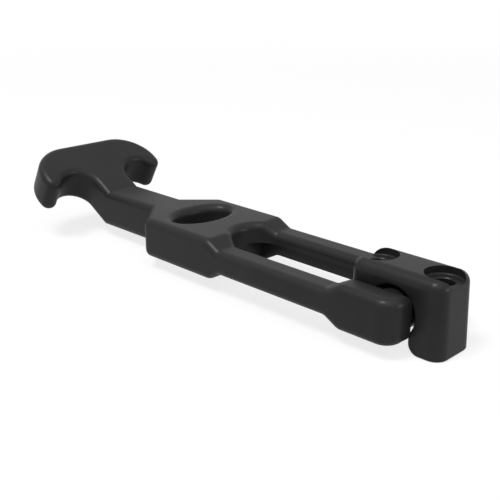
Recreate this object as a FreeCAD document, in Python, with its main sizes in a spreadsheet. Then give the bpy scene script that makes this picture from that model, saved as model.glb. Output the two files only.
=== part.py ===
import FreeCAD, Part
import math
import os

import Sketcher
from FreeCAD import Placement, Rotation, Vector

# Rubber draw latch with a T-shaped handle
#
# A rubber strap is drawn over a keeper and held by the two hooks of its T head. At its other end a
# round crossbar, moulded with the strap, turns in a plastic saddle bracket that two screws hold down.
#
# Frame: the origin is on the mounting surface, midway between the two screws and straight below the
# crossbar. The strap runs towards -X, the crossbar lies along Y, and +Z leaves the mounting surface.
# Lengths are in millimetres and angles in degrees. A reach is measured from the crossbar towards -X.

DRIVING_SIZES = [
    ("pivot_height", 8.0, "middle of the crossbar and of the strap, above the mounting surface"),
    ("strap_thickness", 10.0, "rubber, from the end block to the T head"),
    ("body_width", 26.0, "strap over the body, the arms and the end block"),
    ("slot_width", 12.6, "gap between the arms, which the bracket stands in"),
    ("arm_thinning", 2.0, "how far each face of the arms is cut back between their two ramps"),
    ("end_overhang", 5.0, "end block past the middle of the crossbar"),
    ("end_block_reach", 8.6, "where the end block's flat faces stop"),
    ("ramp_length", 3.65, "each ramp, along the strap"),
    ("crease_radius", 2.5, "rounding of the ramps' creases, across the strap"),
    ("slot_lead", 1.0, "from the ramps' foot to where the slot's round end starts"),
    ("body_reach", 47.25, "where the body's flat faces start"),
    ("finger_hole_width", 10.2, "oval hole along the strap"),
    ("hole_side_wall", 4.7, "rubber between each end of the oval hole and the body's edge"),
    ("bridge_length", 8.8, "rubber between the slot's round end and the oval hole"),
    ("shoulder_margin", 1.6, "from the oval hole's far side to where the body starts to narrow"),
    ("shoulder_angle", 45.0, "slant of the shoulders"),
    ("neck_width", 10.9, "neck between the body and the T head"),
    ("neck_length", 18.3, "from the foot of the shoulders to the crease"),
    ("bend_angle", 30.0, "tilt of the T head"),
    ("crossbar_diameter", 9.2, "round bar across the slot"),
    ("head_width", 38.0, "T head from tip to tip"),
    ("head_length", 20.8, "T head, from the crease to its outer edge along the slope"),
    ("head_corner_radius", 10.8, "round shoulders of the T head"),
    ("tip_reach", 6.8, "hook tips' ends, from the crease along the slope"),
    ("tip_radius", 2.2, "round ends of the hook tips, seen from above"),
    ("hook_reach", 4.7, "middle of the hook notches, from the crease along the slope"),
    ("recess_step", 1.1, "undercut in the slot's lower walls"),
    ("recess_depth", 5.0, "undercut's height, from the underside"),
    ("recess_setback", 0.3, "the undercut's square end wall stops this far before the slot's end"),
    ("strap_edge_radius", 1.9, "rounding of the strap's long edges, if the ramps are high enough for it"),
    ("end_corner_radius", 4.0, "outer corners of the end block, if its arms are wide enough for it"),
    ("least_flat", 0.1, "narrowest flat left beside a rounding of the strap"),
    ("pivot_clearance", 0.75, "gap between the crossbar and the bracket's arch"),
    ("arch_drop", 0.3, "how far the arch is drawn out downwards before it closes in"),
    ("side_clearance", 0.3, "gap between the bracket's foot and each arm"),
    ("snap_grip", 0.9, "how much narrower the arch's mouth is than the crossbar"),
    ("roof_thickness", 3.3, "bracket over the top of its arch"),
    ("screw_wall", 0.3, "plastic between the arch and each screw hole, at its thinnest"),
    ("screw_to_end", 4.0, "from each screw's axis to the foot of the bracket's end wall"),
    ("wall_draft", 2.3, "mould draft of the bracket's two end walls"),
    ("bracket_corner_radius", 3.0, "upright corners of the bracket"),
    ("bracket_edge_radius", 2.4, "rounding round the bracket's top"),
    ("outline_edge_radius", 0.6, "rounding round the arch's openings and the bracket's foot"),
    ("mouth_radius", 2.6, "rounding at the foot of the arch's mouth"),
    ("screw_hole_diameter", 4.3, "clearance hole for an M4 screw"),
    ("screw_hole_rim", 0.2, "bevel round the top of the screw hole"),
    ("counterbore_diameter", 8.25, "pocket for the screw's pan head"),
    ("counterbore_depth", 1.8, "from the bracket's top to the screw head's seat"),
    ("counterbore_fillet", 0.4, "round inside corner at the foot of the pocket's wall"),
]

# A cut runs this far past the face that it opens
CUT_MARGIN = 1.0


class Size:
    """A number together with the sheet formula that gives it."""

    def __init__(self, number, formula):
        self.number = float(number)
        self.formula = formula

    def joined(self, sign, other, number):
        other = as_size(other)
        return Size(number, f"({self.formula} {sign} {other.formula})")

    def __add__(self, other):
        return self.joined("+", other, self.number + as_size(other).number)

    def __sub__(self, other):
        return self.joined("-", other, self.number - as_size(other).number)

    def __mul__(self, other):
        return self.joined("*", other, self.number * as_size(other).number)

    def __truediv__(self, other):
        return self.joined("/", other, self.number / as_size(other).number)

    def __neg__(self):
        return Size(-self.number, f"(-1 * {self.formula})")


def as_size(value):
    return value if isinstance(value, Size) else Size(value, repr(float(value)))


GROUND = Size(0, "0")


def tangent(angle):
    return Size(math.tan(math.radians(angle.number)), f"tan({angle.formula})")


def sine(angle):
    return Size(math.sin(math.radians(angle.number)), f"sin({angle.formula})")


def cosine(angle):
    return Size(math.cos(math.radians(angle.number)), f"cos({angle.formula})")


def root(size):
    return Size(math.sqrt(size.number), f"sqrt({size.formula})")


def smaller(first, second):
    return Size(min(first.number, second.number), f"min({first.formula}; {second.formula})")


doc = FreeCAD.newDocument("rubber_t_draw_latch")
sheet = doc.addObject("Spreadsheet::Sheet", "sizes")
SIZES = {}
for row, (alias, value, meaning) in enumerate(DRIVING_SIZES, start=1):
    sheet.set(f"A{row}", alias)
    sheet.set(f"B{row}", str(value))
    sheet.set(f"C{row}", meaning)
    sheet.setAlias(f"B{row}", alias)
    SIZES[alias] = Size(value, f"sizes.{alias}")
doc.recompute()


# Sketches

LEFT = 1
RIGHT = -1
SKETCH_ORIGIN = (-1, 1)


class Corner:
    """A corner of an outline, with the centre and turn of the arc that arrives there, if any."""

    def __init__(self, x, y, centre=None, turn=LEFT):
        self.x = as_size(x)
        self.y = as_size(y)
        self.centre = centre
        self.turn = turn

    def across(self, other):
        """This corner's mirror image in the X axis, reached by the run that left `other`."""
        centre = None
        if other is not None and other.centre is not None:
            centre = (other.centre[0], -as_size(other.centre[1]))
        return Corner(self.x, -self.y, centre, other.turn if centre else LEFT)


def both_sides(half, crossing=None):
    """Closes a half outline with its mirror image; `crossing` is the arc that joins the halves."""
    loop = list(half)
    arrives = crossing
    for corner in reversed(half):
        loop.append(corner.across(arrives))
        arrives = corner
    return loop


def origin_plane(body, role):
    return next(item for item in body.Origin.OriginFeatures if item.Role == role)


def new_sketch(body, name, role):
    sketch = body.newObject("Sketcher::SketchObject", name)
    sketch.AttachmentSupport = [(origin_plane(body, role), "")]
    sketch.MapMode = "FlatFace"
    return sketch


def tie(sketch, kind, first, second, size):
    """Sets a distance between two points, given as (geometry, point), by a formula of the sheet."""
    index = sketch.addConstraint(Sketcher.Constraint(kind, *first, *second, size.number))
    name = f"{kind}{index}"
    sketch.renameConstraint(index, name)
    sketch.setExpression(f"Constraints.{name}", size.formula)


def tie_point(sketch, point, x, y):
    tie(sketch, "DistanceX", SKETCH_ORIGIN, point, as_size(x))
    tie(sketch, "DistanceY", SKETCH_ORIGIN, point, as_size(y))


def add_arc(sketch, start, corner):
    """Adds the arc from one corner to the next; gives its start and end points."""
    centre_x, centre_y = (as_size(value) for value in corner.centre)
    centre = Vector(centre_x.number, centre_y.number, 0)
    outward = Vector(corner.x.number, corner.y.number, 0) - centre
    begin = math.atan2(start.y.number - centre.y, start.x.number - centre.x)
    finish = math.atan2(outward.y, outward.x)
    if corner.turn == RIGHT:
        begin, finish = finish, begin
    if finish <= begin:
        finish += 2 * math.pi
    circle = Part.Circle(centre, Vector(0, 0, 1), outward.Length)
    arc = sketch.addGeometry(Part.ArcOfCircle(circle, begin, finish))
    across = abs(corner.x.number - start.x.number)
    along = abs(corner.y.number - start.y.number)
    if along >= across:
        tie(sketch, "DistanceX", SKETCH_ORIGIN, (arc, 3), centre_x)
    else:
        tie(sketch, "DistanceY", SKETCH_ORIGIN, (arc, 3), centre_y)
    return ((arc, 1), (arc, 2)) if corner.turn == LEFT else ((arc, 2), (arc, 1))


def add_line(sketch, start, corner):
    first = Vector(start.x.number, start.y.number, 0)
    second = Vector(corner.x.number, corner.y.number, 0)
    line = sketch.addGeometry(Part.LineSegment(first, second))
    return (line, 1), (line, 2)


def draw_loop(sketch, corners):
    """Draws a closed outline of straight runs and arcs, with every corner tied to the sheet."""
    runs = []
    for start, corner in zip([corners[-1]] + corners[:-1], corners):
        add_run = add_arc if corner.centre else add_line
        runs.append(add_run(sketch, start, corner))
    for run, following, corner in zip(runs, runs[1:] + runs[:1], corners):
        sketch.addConstraint(Sketcher.Constraint("Coincident", *run[1], *following[0]))
        tie_point(sketch, run[1], corner.x, corner.y)


def draw_circle(sketch, x, y, diameter):
    centre = Vector(as_size(x).number, as_size(y).number, 0)
    circle = sketch.addGeometry(Part.Circle(centre, Vector(0, 0, 1), diameter.number / 2))
    tie_point(sketch, (circle, 3), x, y)
    index = sketch.addConstraint(Sketcher.Constraint("Diameter", circle, diameter.number))
    sketch.renameConstraint(index, "CircleDiameter")
    sketch.setExpression("Constraints.CircleDiameter", diameter.formula)


def draw_oval(sketch, x, y, width, length):
    """An ellipse whose long axis lies across the strap."""
    centre = Vector(as_size(x).number, as_size(y).number, 0)
    long_end = centre + Vector(0, length.number / 2, 0)
    short_end = centre - Vector(width.number / 2, 0, 0)
    oval = sketch.addGeometry(Part.Ellipse(long_end, short_end, centre))
    sketch.exposeInternalGeometry(oval)
    long_axis, short_axis = oval + 1, oval + 2
    tie_point(sketch, (oval, 3), x, y)
    sketch.addConstraint(Sketcher.Constraint("Vertical", long_axis))
    tie(sketch, "Distance", (long_axis, 1), (long_axis, 2), length)
    tie(sketch, "Distance", (short_axis, 1), (short_axis, 2), width)


# Features

def set_size(feature, name, size):
    setattr(feature, name, size.number)
    feature.setExpression(name, size.formula)


def pad(body, sketch, length, side="One side", reverse=False):
    feature = body.newObject("PartDesign::Pad", f"{sketch.Name}Pad")
    feature.Profile = sketch
    feature.SideType = side
    feature.Reversed = reverse
    set_size(feature, "Length", length)
    doc.recompute()
    return feature


def cut_through(body, sketch):
    feature = body.newObject("PartDesign::Pocket", f"{sketch.Name}Cut")
    feature.Profile = sketch
    feature.Type = "ThroughAll"
    feature.SideType = "Symmetric"
    doc.recompute()
    return feature


def cut_to_depth(body, sketch, depth, reverse=False):
    feature = body.newObject("PartDesign::Pocket", f"{sketch.Name}Cut")
    feature.Profile = sketch
    feature.Reversed = reverse
    set_size(feature, "Length", depth)
    doc.recompute()
    return feature


def round_edges(body, name, wanted, radius):
    """Rounds the edges of the body so far that pass the test `wanted`."""
    base = body.Tip
    edges = base.Shape.Edges
    names = [f"Edge{number}" for number, edge in enumerate(edges, start=1) if wanted(edge)]
    feature = body.newObject("PartDesign::Fillet", name)
    feature.Base = (base, names)
    set_size(feature, "Radius", radius)
    doc.recompute()
    return feature


# Edge tests

NEAR = 0.01
UP = Vector(0, 0, 1)
ACROSS = Vector(0, 1, 0)
# A face of the strap counts as flat when it leans less than this from level
FLAT_LEAN = 40.0


def is_at(value, size):
    return abs(value - size.number) < NEAR


def middle_of(edge):
    return edge.valueAt((edge.FirstParameter + edge.LastParameter) / 2)


def runs_along(edge, direction):
    """A straight edge that runs along a direction, or within a mould draft of it."""
    if edge.Curve.TypeId != "Part::GeomLine":
        return False
    return abs(edge.tangentAt(edge.FirstParameter).dot(direction)) > 0.99


def normals_beside(shape, edge):
    """Outward normals of the two faces that meet at the middle of an edge."""
    normals = []
    for face in shape.ancestorsOfType(edge, Part.Face):
        normals.append(face.normalAt(*face.Surface.parameter(middle_of(edge))))
    return normals


def is_rim(shape, edge):
    """An edge where a wall meets an upper or a lower face, slopes and ramps included."""
    normals = normals_beside(shape, edge)
    level = [normal for normal in normals if abs(normal.z) > math.cos(math.radians(FLAT_LEAN))]
    return len(normals) == 2 and len(level) == 1 and abs(normals[0].dot(normals[1])) < 0.6


# Rubber strap

S = SIZES
strap_top = S["pivot_height"] + S["strap_thickness"] / 2
strap_bottom = S["pivot_height"] - S["strap_thickness"] / 2
half_body = S["body_width"] / 2
half_neck = S["neck_width"] / 2
half_slot = S["slot_width"] / 2
half_head = S["head_width"] / 2
half_arm = S["strap_thickness"] / 2 - S["arm_thinning"]
arm_body_end = S["body_reach"] - S["ramp_length"]
arm_block_end = S["end_block_reach"] + S["ramp_length"]
slot_start = arm_body_end - S["slot_lead"]
slot_end = slot_start + half_slot
hole_length = S["body_width"] - S["hole_side_wall"] * 2
half_hole = S["finger_hole_width"] / 2
hole_reach = slot_end + S["bridge_length"] + half_hole
shoulder_reach = hole_reach + half_hole + S["shoulder_margin"]
neck_reach = shoulder_reach + (half_body - half_neck) / tangent(S["shoulder_angle"])
bend_reach = neck_reach + S["neck_length"]
edge_radius = smaller(S["strap_edge_radius"], S["arm_thinning"] - S["least_flat"])
end_corner_radius = smaller(S["end_corner_radius"], half_body - half_slot - edge_radius - S["least_flat"])

strap = doc.addObject("PartDesign::Body", "rubber_strap")

# Flat length of the strap: end block, arms, body and neck as one slab
plan = new_sketch(strap, "StrapPlan", "XY_Plane")
plan.AttachmentOffset = Placement(Vector(0, 0, S["pivot_height"].number), Rotation())
plan.setExpression("AttachmentOffset.Base.z", S["pivot_height"].formula)
draw_loop(plan, both_sides([
    Corner(S["end_overhang"], half_body),
    Corner(-shoulder_reach, half_body),
    Corner(-neck_reach, half_neck),
    Corner(-bend_reach, half_neck),
]))
pad(strap, plan, S["strap_thickness"], "Symmetric")

# The neck turns up at the crease and keeps its thickness, so the underside turns further out
slope_x = S["hook_reach"] * cosine(S["bend_angle"])
slope_z = S["hook_reach"] * sine(S["bend_angle"])
drop_x = S["strap_thickness"] * sine(S["bend_angle"])
drop_z = S["strap_thickness"] * cosine(S["bend_angle"])
underside_bend = bend_reach + S["strap_thickness"] * tangent(S["bend_angle"] / 2)
bend = new_sketch(strap, "NeckBend", "XZ_Plane")
draw_loop(bend, [
    Corner(-bend_reach, strap_top),
    Corner(-bend_reach, strap_bottom),
    Corner(-underside_bend, strap_bottom),
    Corner(-(bend_reach + slope_x + drop_x), strap_top + slope_z - drop_z),
    Corner(-(bend_reach + slope_x), strap_top + slope_z),
])
pad(strap, bend, S["neck_width"], "Symmetric")

# T head, drawn on the sloping top face with the crease as its Y axis. Each hook tip ends in a full
# round that runs smoothly into the head's outer corner and into the notch that holds the keeper.
corner_x = S["head_length"] - S["head_corner_radius"]
corner_y = half_head - S["head_corner_radius"]
inner_radius = S["head_corner_radius"] - S["tip_radius"]
tip_x = S["tip_reach"] + S["tip_radius"]
tip_y = corner_y + root(inner_radius * inner_radius - (corner_x - tip_x) * (corner_x - tip_x))
hook_lead = tip_x - S["hook_reach"]
hook_span = tip_y - half_neck
hook_radius = (hook_lead * hook_lead + hook_span * hook_span - S["tip_radius"] * S["tip_radius"]) / (
    (hook_span + S["tip_radius"]) * 2)
hook_y = half_neck + hook_radius
# Share of the way from the notch's middle to the tip's, and of the way from the corner's, where they meet
hook_share = hook_radius / (hook_radius + S["tip_radius"])
corner_share = S["head_corner_radius"] / inner_radius
head = new_sketch(strap, "HeadPlan", "XY_Plane")
head.AttachmentOffset = Placement(Vector(-bend_reach.number, 0, strap_top.number),
                                  Rotation(Vector(0, 1, 0), S["bend_angle"].number))
head.setExpression("AttachmentOffset.Base.x", (-bend_reach).formula)
head.setExpression("AttachmentOffset.Base.z", strap_top.formula)
head.setExpression("AttachmentOffset.Rotation.Angle", S["bend_angle"].formula)
draw_loop(head, both_sides([
    Corner(0, half_neck),
    Corner(-S["hook_reach"], half_neck),
    Corner(-(S["hook_reach"] + hook_lead * hook_share), hook_y + (tip_y - hook_y) * hook_share,
           (-S["hook_reach"], hook_y), RIGHT),
    Corner(-(corner_x - (corner_x - tip_x) * corner_share), corner_y + (tip_y - corner_y) * corner_share,
           (-tip_x, tip_y), LEFT),
    Corner(-S["head_length"], corner_y, (-corner_x, corner_y), LEFT),
]))
pad(strap, head, S["strap_thickness"], reverse=True)

# Both faces of the arms are thinned between two ramps
thinning = new_sketch(strap, "ArmThinning", "XZ_Plane")
for face, arm_face in ((strap_top, S["pivot_height"] + half_arm),
                       (strap_bottom, S["pivot_height"] - half_arm)):
    draw_loop(thinning, [
        Corner(-S["body_reach"], face),
        Corner(-arm_body_end, arm_face),
        Corner(-arm_block_end, arm_face),
        Corner(-S["end_block_reach"], face),
    ])
cut_through(strap, thinning)


def is_ramp_crease(edge):
    reach = -middle_of(edge).x
    on_ramps = S["end_block_reach"].number - NEAR < reach < S["body_reach"].number + NEAR
    return on_ramps and runs_along(edge, ACROSS)


round_edges(strap, "RampCreases", is_ramp_crease, S["crease_radius"])

# Slot between the arms, round at the body and open at the end block
slot = new_sketch(strap, "Slot", "XY_Plane")
draw_loop(slot, both_sides([
    Corner(S["end_overhang"] + CUT_MARGIN, half_slot),
    Corner(-slot_start, half_slot),
], Corner(0, 0, (-slot_start, 0), LEFT)))
cut_through(strap, slot)

# Oval finger hole in the body
finger_hole = new_sketch(strap, "FingerHole", "XY_Plane")
draw_oval(finger_hole, -hole_reach, 0, S["finger_hole_width"], hole_length)
cut_through(strap, finger_hole)


# Roundings of the strap
def is_end_corner(edge):
    point = middle_of(edge)
    return runs_along(edge, UP) and is_at(point.x, S["end_overhang"]) and is_at(abs(point.y), half_body)


def is_inside_slot(point):
    return point.x > -S["body_reach"].number - half_slot.number and abs(point.y) < half_slot.number + NEAR


def is_rounded_edge(edge):
    """Every rim but the slot's lower one, and the upright corners where the shoulders start."""
    point = middle_of(edge)
    if is_rim(strap.Tip.Shape, edge):
        return point.z > S["pivot_height"].number or not is_inside_slot(point)
    return runs_along(edge, UP) and is_at(point.x, -shoulder_reach)


round_edges(strap, "EndCorners", is_end_corner, end_corner_radius)
round_edges(strap, "StrapEdges", is_rounded_edge, edge_radius)

# Undercut in the slot's lower walls, square at its end, where the bracket's foot folds away
recess = new_sketch(strap, "Recess", "XY_Plane")
recess.AttachmentOffset = Placement(Vector(0, 0, strap_bottom.number), Rotation())
recess.setExpression("AttachmentOffset.Base.z", strap_bottom.formula)
half_recess = half_slot + S["recess_step"]
draw_loop(recess, both_sides([
    Corner(-arm_block_end, half_recess),
    Corner(-(slot_end - S["recess_setback"]), half_recess),
]))
cut_to_depth(strap, recess, S["recess_depth"], reverse=True)

# Crossbar, sunk into the end block past the rounding of its edges
crossbar = new_sketch(strap, "Crossbar", "XZ_Plane")
draw_circle(crossbar, 0, S["pivot_height"], S["crossbar_diameter"])
pad(strap, crossbar, S["slot_width"] + edge_radius * 2, "Symmetric")


# Mounting bracket

arch_radius = S["crossbar_diameter"] / 2 + S["pivot_clearance"]
arch_top = S["pivot_height"] + arch_radius
bracket_height = arch_top + S["roof_thickness"]
hole_radius = S["screw_hole_diameter"] / 2
half_spacing = arch_radius + S["screw_wall"] + hole_radius
half_foot_length = half_spacing + S["screw_to_end"]
half_foot_width = half_slot - S["side_clearance"]

bracket = doc.addObject("PartDesign::Body", "mounting_bracket")

foot = new_sketch(bracket, "Foot", "XY_Plane")
draw_loop(foot, both_sides([
    Corner(half_foot_length, half_foot_width),
    Corner(-half_foot_length, half_foot_width),
]))
pad(bracket, foot, bracket_height)


# Its two end walls lean inwards from the mounting surface up, so that the moulding leaves its mould
block = bracket.Tip
end_walls = [f"Face{number}" for number, face in enumerate(block.Shape.Faces, start=1)
             if abs(face.normalAt(0, 0).x) > 1 - NEAR]
draft = bracket.newObject("PartDesign::Draft", "EndWallDraft")
draft.Base = (block, end_walls)
draft.NeutralPlane = (origin_plane(bracket, "XY_Plane"), [""])
set_size(draft, "Angle", S["wall_draft"])
doc.recompute()


def is_bracket_corner(edge):
    return runs_along(edge, UP)


def is_bracket_top_rim(edge):
    return is_at(middle_of(edge).z, bracket_height)


round_edges(bracket, "BracketCorners", is_bracket_corner, S["bracket_corner_radius"])
round_edges(bracket, "BracketTopEdge", is_bracket_top_rim, S["bracket_edge_radius"])

# Arch that snaps over the crossbar, drawn out downwards to a mouth narrower than the bar
half_mouth = (S["crossbar_diameter"] - S["snap_grip"]) / 2
arch_low = S["pivot_height"] - S["arch_drop"]
mouth_top = arch_low - root(arch_radius * arch_radius - half_mouth * half_mouth)
arch = new_sketch(bracket, "Arch", "XZ_Plane")
draw_loop(arch, [
    Corner(-half_mouth, 0),
    Corner(half_mouth, 0),
    Corner(half_mouth, mouth_top),
    Corner(arch_radius, arch_low, (0, arch_low), LEFT),
    Corner(arch_radius, S["pivot_height"]),
    Corner(-arch_radius, S["pivot_height"], (0, S["pivot_height"]), LEFT),
    Corner(-arch_radius, arch_low),
    Corner(-half_mouth, mouth_top, (0, arch_low), LEFT),
])
cut_through(bracket, arch)


def is_mouth_edge(edge):
    """An edge of the arch's mouth at the mounting surface, along Y."""
    point = middle_of(edge)
    return is_at(point.z, GROUND) and is_at(abs(point.x), half_mouth)


def is_outline_edge(edge):
    """An edge of the arch's opening in either side of the bracket, or round its two feet."""
    point = middle_of(edge)
    beside = abs(point.y) > half_foot_width.number / 2
    in_arch = beside and abs(point.x) < arch_radius.number + NEAR and point.z < arch_top.number + NEAR
    return in_arch or is_at(point.z, GROUND)


round_edges(bracket, "MouthEdges", is_mouth_edge, S["mouth_radius"])
round_edges(bracket, "OutlineEdges", is_outline_edge, S["outline_edge_radius"])

# Screw hole with a round pocket for the screw's head, turned about the hole's own axis
pocket_radius = S["counterbore_diameter"] / 2
seat = bracket_height - S["counterbore_depth"]
screw_hole = new_sketch(bracket, "ScrewHole", "XZ_Plane")
screw_hole.AttachmentOffset = Placement(Vector(half_spacing.number, 0, 0), Rotation())
screw_hole.setExpression("AttachmentOffset.Base.x", half_spacing.formula)
draw_loop(screw_hole, [
    Corner(0, -CUT_MARGIN),
    Corner(hole_radius, -CUT_MARGIN),
    Corner(hole_radius, seat - S["screw_hole_rim"]),
    Corner(hole_radius + S["screw_hole_rim"], seat),
    Corner(pocket_radius - S["counterbore_fillet"], seat),
    Corner(pocket_radius, seat + S["counterbore_fillet"],
           (pocket_radius - S["counterbore_fillet"], seat + S["counterbore_fillet"]), LEFT),
    Corner(pocket_radius, bracket_height + CUT_MARGIN),
    Corner(0, bracket_height + CUT_MARGIN),
])
bore = bracket.newObject("PartDesign::Groove", "ScrewHoleBore")
bore.Profile = screw_hole
bore.ReferenceAxis = (screw_hole, ["V_Axis"])
doc.recompute()
second_bore = bracket.newObject("PartDesign::Mirrored", "SecondScrewHole")
second_bore.Originals = [bore]
second_bore.MirrorPlane = (origin_plane(bracket, "YZ_Plane"), [""])
bracket.Tip = second_bore
doc.recompute()


# Checks and output

SUB_PARTS = [strap, bracket]
for item in doc.Objects:
    if "Invalid" in item.State or "Error" in item.State:
        raise RuntimeError(f"{item.Label} did not recompute: {item.State}")
for body in SUB_PARTS:
    shape = body.Shape
    if shape.isNull() or not shape.isValid() or len(shape.Solids) != 1:
        raise RuntimeError(f"{body.Label} is not one valid solid")

os.makedirs("parts", exist_ok=True)
for body in SUB_PARTS:
    body.Shape.exportStep(os.path.join("parts", f"{body.Label}.step"))
    box = body.Shape.BoundBox
    print(f"{body.Label}: {body.Shape.Volume:.1f} mm3, X {box.XMin:.2f} to {box.XMax:.2f}, "
          f"Y {box.YMin:.2f} to {box.YMax:.2f}, Z {box.ZMin:.2f} to {box.ZMax:.2f}")
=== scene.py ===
import math

import bmesh
import bpy
from mathutils import Matrix, Vector


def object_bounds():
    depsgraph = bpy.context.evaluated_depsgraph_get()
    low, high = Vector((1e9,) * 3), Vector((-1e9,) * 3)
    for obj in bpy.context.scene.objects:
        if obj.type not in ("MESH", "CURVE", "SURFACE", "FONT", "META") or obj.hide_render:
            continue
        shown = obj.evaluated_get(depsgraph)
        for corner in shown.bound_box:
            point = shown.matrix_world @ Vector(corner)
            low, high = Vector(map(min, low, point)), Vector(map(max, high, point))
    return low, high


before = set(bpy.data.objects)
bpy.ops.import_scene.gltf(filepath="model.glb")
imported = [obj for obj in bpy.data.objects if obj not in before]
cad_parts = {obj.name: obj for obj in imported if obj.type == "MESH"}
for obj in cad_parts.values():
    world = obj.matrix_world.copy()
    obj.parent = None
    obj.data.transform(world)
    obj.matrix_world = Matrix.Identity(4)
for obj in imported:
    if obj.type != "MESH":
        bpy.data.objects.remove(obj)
CAD_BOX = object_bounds()

bl_info = {
    "name": "Rubber T draw latch",
    "version": (1, 0, 0),
    "blender": (4, 5, 0),
    "location": "3D View > Sidebar > Draw Latch",
    "description": "Finishes the rubber strap and the saddle bracket, and sets them on a plain stage",
    "category": "Object",
}

STRAP = "rubber_strap"
BRACKET = "mounting_bracket"
WHITE = (1, 1, 1, 1)


# Settings

class RubberSettings(bpy.types.PropertyGroup):
    """Finish of the moulded rubber strap."""

    tone: bpy.props.FloatVectorProperty(
        name="Rubber colour", description="Carbon-black rubber, fresh from its mould",
        subtype="COLOR", size=3, min=0, max=1, default=(0.0095, 0.0095, 0.0098))
    bloom: bpy.props.FloatVectorProperty(
        name="Bloom colour", description="Pale film that rubber sweats out in patches",
        subtype="COLOR", size=3, min=0, max=1, default=(0.0135, 0.0135, 0.0138))
    roughness: bpy.props.FloatProperty(
        name="Roughness", description="Sheen of the moulded surface",
        subtype="FACTOR", min=0, max=1, default=0.5)
    patch_size: bpy.props.FloatProperty(
        name="Patch size", description="Breadth of the patches of bloom",
        subtype="DISTANCE", unit="LENGTH", min=0.001, max=0.1, precision=4, default=0.018)
    sheen_change: bpy.props.FloatProperty(
        name="Sheen change", description="How much rougher the bloom is than the middle, and the bare rubber smoother",
        subtype="FACTOR", min=0, max=0.2, default=0.035)
    grain_size: bpy.props.FloatProperty(
        name="Grain size", description="Texture that the mould's surface leaves on the rubber",
        subtype="DISTANCE", unit="LENGTH", min=0.00005, max=0.005, default=0.00035)
    grain_depth: bpy.props.FloatProperty(
        name="Grain depth", description="Height of the grain",
        subtype="DISTANCE", unit="LENGTH", min=0, max=0.0005, precision=6, default=0.000006)


class PlasticSettings(bpy.types.PropertyGroup):
    """Finish of the moulded saddle bracket."""

    tone: bpy.props.FloatVectorProperty(
        name="Plastic colour", description="Black glass-filled plastic",
        subtype="COLOR", size=3, min=0, max=1, default=(0.0095, 0.0095, 0.0100))
    swirl: bpy.props.FloatVectorProperty(
        name="Flow colour", description="Slightly paler streaks where the melt flowed",
        subtype="COLOR", size=3, min=0, max=1, default=(0.0130, 0.0130, 0.0135))
    roughness: bpy.props.FloatProperty(
        name="Roughness", description="Sheen of the moulded surface",
        subtype="FACTOR", min=0, max=1, default=0.48)
    patch_size: bpy.props.FloatProperty(
        name="Patch size", description="Breadth of the streaks of flow",
        subtype="DISTANCE", unit="LENGTH", min=0.001, max=0.1, precision=4, default=0.009)
    sheen_change: bpy.props.FloatProperty(
        name="Sheen change", description="How much rougher the streaks are than the middle, and the rest smoother",
        subtype="FACTOR", min=0, max=0.2, default=0.03)
    grain_size: bpy.props.FloatProperty(
        name="Grain size", description="Fine spark-eroded texture of the mould",
        subtype="DISTANCE", unit="LENGTH", min=0.00005, max=0.005, default=0.00025)
    grain_depth: bpy.props.FloatProperty(
        name="Grain depth", description="Height of the grain",
        subtype="DISTANCE", unit="LENGTH", min=0, max=0.0005, precision=6, default=0.000004)


class StageSettings(bpy.types.PropertyGroup):
    """Floor, light and camera."""

    floor_colour: bpy.props.FloatVectorProperty(
        name="Floor colour", description="Plain pale floor",
        subtype="COLOR", size=3, min=0, max=1, default=(0.8, 0.8, 0.8))
    shadow_share: bpy.props.FloatProperty(
        name="Shadow share", description="How much of the floor's own shading the camera sees on the white",
        subtype="FACTOR", min=0, max=1, default=0.2)
    shadow_reach: bpy.props.FloatProperty(
        name="Shadow reach", description="Distance from the pivot at which the floor has faded to plain white",
        subtype="DISTANCE", unit="LENGTH", min=0.05, max=5, default=0.6)
    room_light: bpy.props.FloatProperty(
        name="Room light", description="Strength of the even light from all round", min=0, max=3, default=0.3)
    lens: bpy.props.FloatProperty(
        name="Lens", description="Focal length of the camera", subtype="DISTANCE_CAMERA",
        min=10, max=300, default=60)
    tilt: bpy.props.FloatProperty(
        name="Camera tilt", description="From looking straight down", subtype="ANGLE", unit="ROTATION",
        default=math.radians(70))
    turn: bpy.props.FloatProperty(
        name="Camera turn", description="About the upright axis", subtype="ANGLE", unit="ROTATION",
        default=math.radians(45))
    viewpoint: bpy.props.FloatVectorProperty(
        name="Viewpoint", description="Where the camera stands", subtype="TRANSLATION", unit="LENGTH",
        size=3, precision=5, default=(0.08726, -0.13291, 0.07604))


# Materials

# The low gloss of rubber and plastic straight from the mould, under a thin soft sheen
MOULDED_GLOSS = {
    "IOR": 1.5,
    "Specular IOR Level": 0.1,
    "Coat Weight": 0.12,
    "Coat Roughness": 0.28,
}
# The slow noise below the first value is all bare surface, and above the second all patch
PATCH_EDGES = (0.35, 0.68)


def new_material(name):
    """An empty node material, with its nodes and links."""
    material = bpy.data.materials.new(name)
    material.use_nodes = True
    material.node_tree.nodes.clear()
    return material, material.node_tree.nodes, material.node_tree.links


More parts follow.
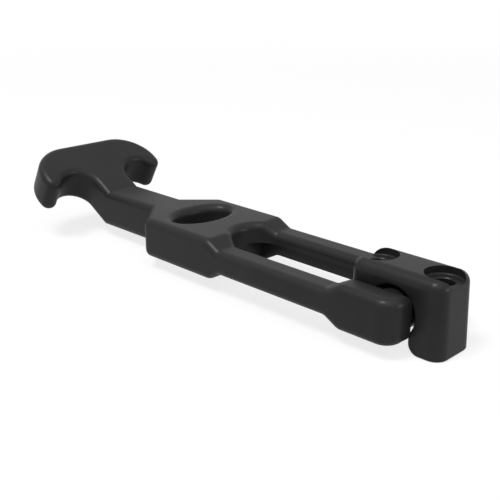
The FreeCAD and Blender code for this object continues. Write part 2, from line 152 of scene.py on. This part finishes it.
def mould_grain_group():
    """Fine height of a moulded surface, with a slow mottle for its colour and sheen."""
    name = "mould_grain"
    if name in bpy.data.node_groups:
        return bpy.data.node_groups[name]
    group = bpy.data.node_groups.new(name, "ShaderNodeTree")
    sockets = group.interface
    sockets.new_socket("Vector", in_out="INPUT", socket_type="NodeSocketVector")
    sockets.new_socket("Grain Size", in_out="INPUT", socket_type="NodeSocketFloat")
    sockets.new_socket("Mottle Size", in_out="INPUT", socket_type="NodeSocketFloat")
    sockets.new_socket("Height", in_out="OUTPUT", socket_type="NodeSocketFloat")
    sockets.new_socket("Mottle", in_out="OUTPUT", socket_type="NodeSocketFloat")
    nodes, links = group.nodes, group.links
    given = nodes.new("NodeGroupInput")
    result = nodes.new("NodeGroupOutput")

    def pattern(size_socket, detail, roughness):
        per_metre = nodes.new("ShaderNodeMath")
        per_metre.operation = "DIVIDE"
        per_metre.inputs[0].default_value = 1
        links.new(given.outputs[size_socket], per_metre.inputs[1])
        noise = nodes.new("ShaderNodeTexNoise")
        noise.inputs["Detail"].default_value = detail
        noise.inputs["Roughness"].default_value = roughness
        links.new(given.outputs["Vector"], noise.inputs["Vector"])
        links.new(per_metre.outputs[0], noise.inputs["Scale"])
        return noise

    grain = pattern("Grain Size", detail=3, roughness=0.6)
    mottle = pattern("Mottle Size", detail=4, roughness=0.55)
    spread = nodes.new("ShaderNodeMapRange")
    spread.inputs["From Min"].default_value, spread.inputs["From Max"].default_value = PATCH_EDGES
    links.new(mottle.outputs["Fac"], spread.inputs["Value"])
    links.new(grain.outputs["Fac"], result.inputs["Height"])
    links.new(spread.outputs["Result"], result.inputs["Mottle"])
    return group


def moulded_material(name, settings, patch_colour):
    """A moulded black surface: grain in its height, slow patches in its colour and sheen."""
    material, nodes, links = new_material(name)
    output = nodes.new("ShaderNodeOutputMaterial")
    surface = nodes.new("ShaderNodeBsdfPrincipled")
    links.new(surface.outputs["BSDF"], output.inputs["Surface"])
    for socket, value in MOULDED_GLOSS.items():
        surface.inputs[socket].default_value = value
    place = nodes.new("ShaderNodeTexCoord")
    grain = nodes.new("ShaderNodeGroup")
    grain.node_tree = mould_grain_group()
    grain.inputs["Grain Size"].default_value = settings.grain_size
    grain.inputs["Mottle Size"].default_value = settings.patch_size
    links.new(place.outputs["Object"], grain.inputs["Vector"])

    colour = nodes.new("ShaderNodeMix")
    colour.data_type = "RGBA"
    colour.inputs["A"].default_value = (*settings.tone, 1)
    colour.inputs["B"].default_value = (*patch_colour, 1)
    links.new(grain.outputs["Mottle"], colour.inputs["Factor"])
    links.new(colour.outputs["Result"], surface.inputs["Base Color"])

    sheen = nodes.new("ShaderNodeMapRange")
    sheen.inputs["To Min"].default_value = settings.roughness - settings.sheen_change
    sheen.inputs["To Max"].default_value = settings.roughness + settings.sheen_change
    links.new(grain.outputs["Mottle"], sheen.inputs["Value"])
    links.new(sheen.outputs["Result"], surface.inputs["Roughness"])

    relief = nodes.new("ShaderNodeBump")
    relief.inputs["Distance"].default_value = settings.grain_depth
    links.new(grain.outputs["Height"], relief.inputs["Height"])
    links.new(relief.outputs["Normal"], surface.inputs["Normal"])
    return material


def finish_node(node_name, material):
    """Gives a CAD node its material."""
    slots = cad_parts[node_name].data.materials
    slots.clear()
    slots.append(material)


# Pieces

class DRAWLATCH_OT_rubber_strap(bpy.types.Operator):
    """Gives the strap its satin black rubber."""

    bl_idname = "drawlatch.rubber_strap"
    bl_label = "Rubber strap"

    def execute(self, context):
        settings = context.scene.draw_latch_rubber
        finish_node(STRAP, moulded_material("satin_rubber", settings, settings.bloom))
        return {"FINISHED"}


class DRAWLATCH_OT_mounting_bracket(bpy.types.Operator):
    """Gives the bracket its hard black plastic."""

    bl_idname = "drawlatch.mounting_bracket"
    bl_label = "Mounting bracket"

    def execute(self, context):
        settings = context.scene.draw_latch_plastic
        finish_node(BRACKET, moulded_material("hard_plastic", settings, settings.swirl))
        return {"FINISHED"}


# Stage

FLOOR_HALF_SIZE = 20
# Share of the shadow's reach within which the floor keeps all of it
SHADOW_CORE = 0.25
SEES_WHITE = ("Is Camera Ray", "Is Glossy Ray", "Is Transmission Ray")


def sees_white(nodes, links):
    """1 for the camera and for reflections, and 0 for the light that falls on the part."""
    rays = nodes.new("ShaderNodeLightPath")
    seen = rays.outputs[SEES_WHITE[0]]
    for kind in SEES_WHITE[1:]:
        either = nodes.new("ShaderNodeMath")
        either.operation = "MAXIMUM"
        links.new(seen, either.inputs[0])
        links.new(rays.outputs[kind], either.inputs[1])
        seen = either.outputs[0]
    return seen


def floor_material(settings):
    """Pale floor with a soft shadow near the part, otherwise plain white to the camera and in reflections."""
    material, nodes, links = new_material("pale_floor")
    output = nodes.new("ShaderNodeOutputMaterial")
    paint = nodes.new("ShaderNodeBsdfDiffuse")
    paint.inputs["Color"].default_value = (*settings.floor_colour, 1)
    white = nodes.new("ShaderNodeEmission")
    white.inputs["Color"].default_value = WHITE
    white.inputs["Strength"].default_value = 1
    place = nodes.new("ShaderNodeTexCoord")
    away = nodes.new("ShaderNodeVectorMath")
    away.operation = "LENGTH"
    links.new(place.outputs["Object"], away.inputs[0])
    whiteness = nodes.new("ShaderNodeMapRange")
    whiteness.inputs["From Min"].default_value = settings.shadow_reach * SHADOW_CORE
    whiteness.inputs["From Max"].default_value = settings.shadow_reach
    whiteness.inputs["To Min"].default_value = 1 - settings.shadow_share
    whiteness.inputs["To Max"].default_value = 1
    links.new(away.outputs["Value"], whiteness.inputs["Value"])
    share = nodes.new("ShaderNodeMath")
    share.operation = "MULTIPLY"
    links.new(sees_white(nodes, links), share.inputs[0])
    links.new(whiteness.outputs["Result"], share.inputs[1])
    blend = nodes.new("ShaderNodeMixShader")
    links.new(share.outputs[0], blend.inputs["Fac"])
    links.new(paint.outputs["BSDF"], blend.inputs[1])
    links.new(white.outputs["Emission"], blend.inputs[2])
    links.new(blend.outputs["Shader"], output.inputs["Surface"])
    return material


def lay_floor(settings):
    """A wide floor level with the bracket's foot."""
    plate = bmesh.new()
    bmesh.ops.create_grid(plate, x_segments=1, y_segments=1, size=FLOOR_HALF_SIZE)
    bmesh.ops.translate(plate, verts=plate.verts, vec=(0, 0, CAD_BOX[0][2]))
    mesh = bpy.data.meshes.new("floor")
    plate.to_mesh(mesh)
    plate.free()
    mesh.materials.append(floor_material(settings))
    floor = bpy.data.objects.new("floor", mesh)
    bpy.context.scene.collection.objects.link(floor)


def light_room(settings):
    """Even light from all round, in a room whose walls look white to the camera and in reflections."""
    world = bpy.data.worlds.new("room")
    bpy.context.scene.world = world
    world.use_nodes = True
    nodes, links = world.node_tree.nodes, world.node_tree.links
    nodes.clear()
    output = nodes.new("ShaderNodeOutputWorld")
    room = nodes.new("ShaderNodeBackground")
    room.inputs["Color"].default_value = WHITE
    strength = nodes.new("ShaderNodeMapRange")
    strength.inputs["To Min"].default_value = settings.room_light
    strength.inputs["To Max"].default_value = 1
    links.new(sees_white(nodes, links), strength.inputs["Value"])
    links.new(strength.outputs["Result"], room.inputs["Strength"])
    links.new(room.outputs["Background"], output.inputs["Surface"])


# Soft boxes round the strap's middle: name, degrees from +X towards +Y, degrees up, width, height, watts
SOFT_BOXES = (
    ("front_box", -45, 42, 0.6, 0.5, 1.2),
    ("top_box", -10, 66, 1.0, 1.0, 3.6),
    ("key_box", -101, 65, 0.4, 0.4, 13.5),
    ("low_right_box", 22.5, 10, 0.45, 0.25, 3.4),
)
SOFT_BOX_TARGET = Vector((-0.04, 0, 0.01))
SOFT_BOX_DISTANCE = 1.2


def hang_soft_boxes():
    """Area lamps at one distance from the strap's middle, each turned towards it."""
    for name, turn, lift, width, height, watts in SOFT_BOXES:
        lamp = bpy.data.lights.new(name, "AREA")
        lamp.shape = "RECTANGLE"
        lamp.size = width
        lamp.size_y = height
        lamp.energy = watts
        box = bpy.data.objects.new(name, lamp)
        turn, lift = math.radians(turn), math.radians(lift)
        away = Vector((math.cos(turn) * math.cos(lift), math.sin(turn) * math.cos(lift), math.sin(lift)))
        place = SOFT_BOX_TARGET + away * SOFT_BOX_DISTANCE
        box.matrix_world = Matrix.Translation(place) @ (-away).to_track_quat("-Z", "Y").to_matrix().to_4x4()
        bpy.context.scene.collection.objects.link(box)


def place_camera(settings):
    """A camera on a 36 mm sensor, where the photograph was taken from."""
    view = bpy.data.cameras.new("photo_view")
    view.lens = settings.lens
    view.sensor_width = 36
    view.clip_start = 0.005
    view.clip_end = 100
    camera = bpy.data.objects.new("photo_view", view)
    camera.location = settings.viewpoint
    camera.rotation_euler = (settings.tilt, 0, settings.turn)
    bpy.context.scene.collection.objects.link(camera)
    bpy.context.scene.camera = camera


class DRAWLATCH_OT_stage(bpy.types.Operator):
    """Lays the floor, lights it softly and sets the camera where the photograph was taken."""

    bl_idname = "drawlatch.stage"
    bl_label = "Stage"

    def execute(self, context):
        settings = context.scene.draw_latch_stage
        lay_floor(settings)
        light_room(settings)
        hang_soft_boxes()
        place_camera(settings)
        context.scene.view_settings.view_transform = "Standard"
        return {"FINISHED"}


class DRAWLATCH_PT_sidebar(bpy.types.Panel):
    """Lists the settings, and the operator that uses each group of them."""

    bl_label = "Draw Latch"
    bl_idname = "DRAWLATCH_PT_sidebar"
    bl_space_type = "VIEW_3D"
    bl_region_type = "UI"
    bl_category = "Draw Latch"

    def draw(self, context):
        layout = self.layout
        scene = context.scene
        for heading, settings, operator in (
            ("Rubber", scene.draw_latch_rubber, DRAWLATCH_OT_rubber_strap),
            ("Plastic", scene.draw_latch_plastic, DRAWLATCH_OT_mounting_bracket),
            ("Stage", scene.draw_latch_stage, DRAWLATCH_OT_stage),
        ):
            box = layout.box()
            box.label(text=heading)
            for prop in settings.bl_rna.properties:
                if prop.identifier not in ("rna_type", "name"):
                    box.prop(settings, prop.identifier)
            box.operator(operator.bl_idname)


CLASSES = (
    RubberSettings,
    PlasticSettings,
    StageSettings,
    DRAWLATCH_OT_rubber_strap,
    DRAWLATCH_OT_mounting_bracket,
    DRAWLATCH_OT_stage,
    DRAWLATCH_PT_sidebar,
)


def register():
    for item in CLASSES:
        bpy.utils.register_class(item)
    bpy.types.Scene.draw_latch_rubber = bpy.props.PointerProperty(type=RubberSettings)
    bpy.types.Scene.draw_latch_plastic = bpy.props.PointerProperty(type=PlasticSettings)
    bpy.types.Scene.draw_latch_stage = bpy.props.PointerProperty(type=StageSettings)


def unregister():
    del bpy.types.Scene.draw_latch_stage
    del bpy.types.Scene.draw_latch_plastic
    del bpy.types.Scene.draw_latch_rubber
    for item in reversed(CLASSES):
        bpy.utils.unregister_class(item)


def main():
    register()
    bpy.ops.drawlatch.rubber_strap()
    bpy.ops.drawlatch.mounting_bracket()
    bpy.ops.drawlatch.stage()


if __name__ == "__main__":
    main()
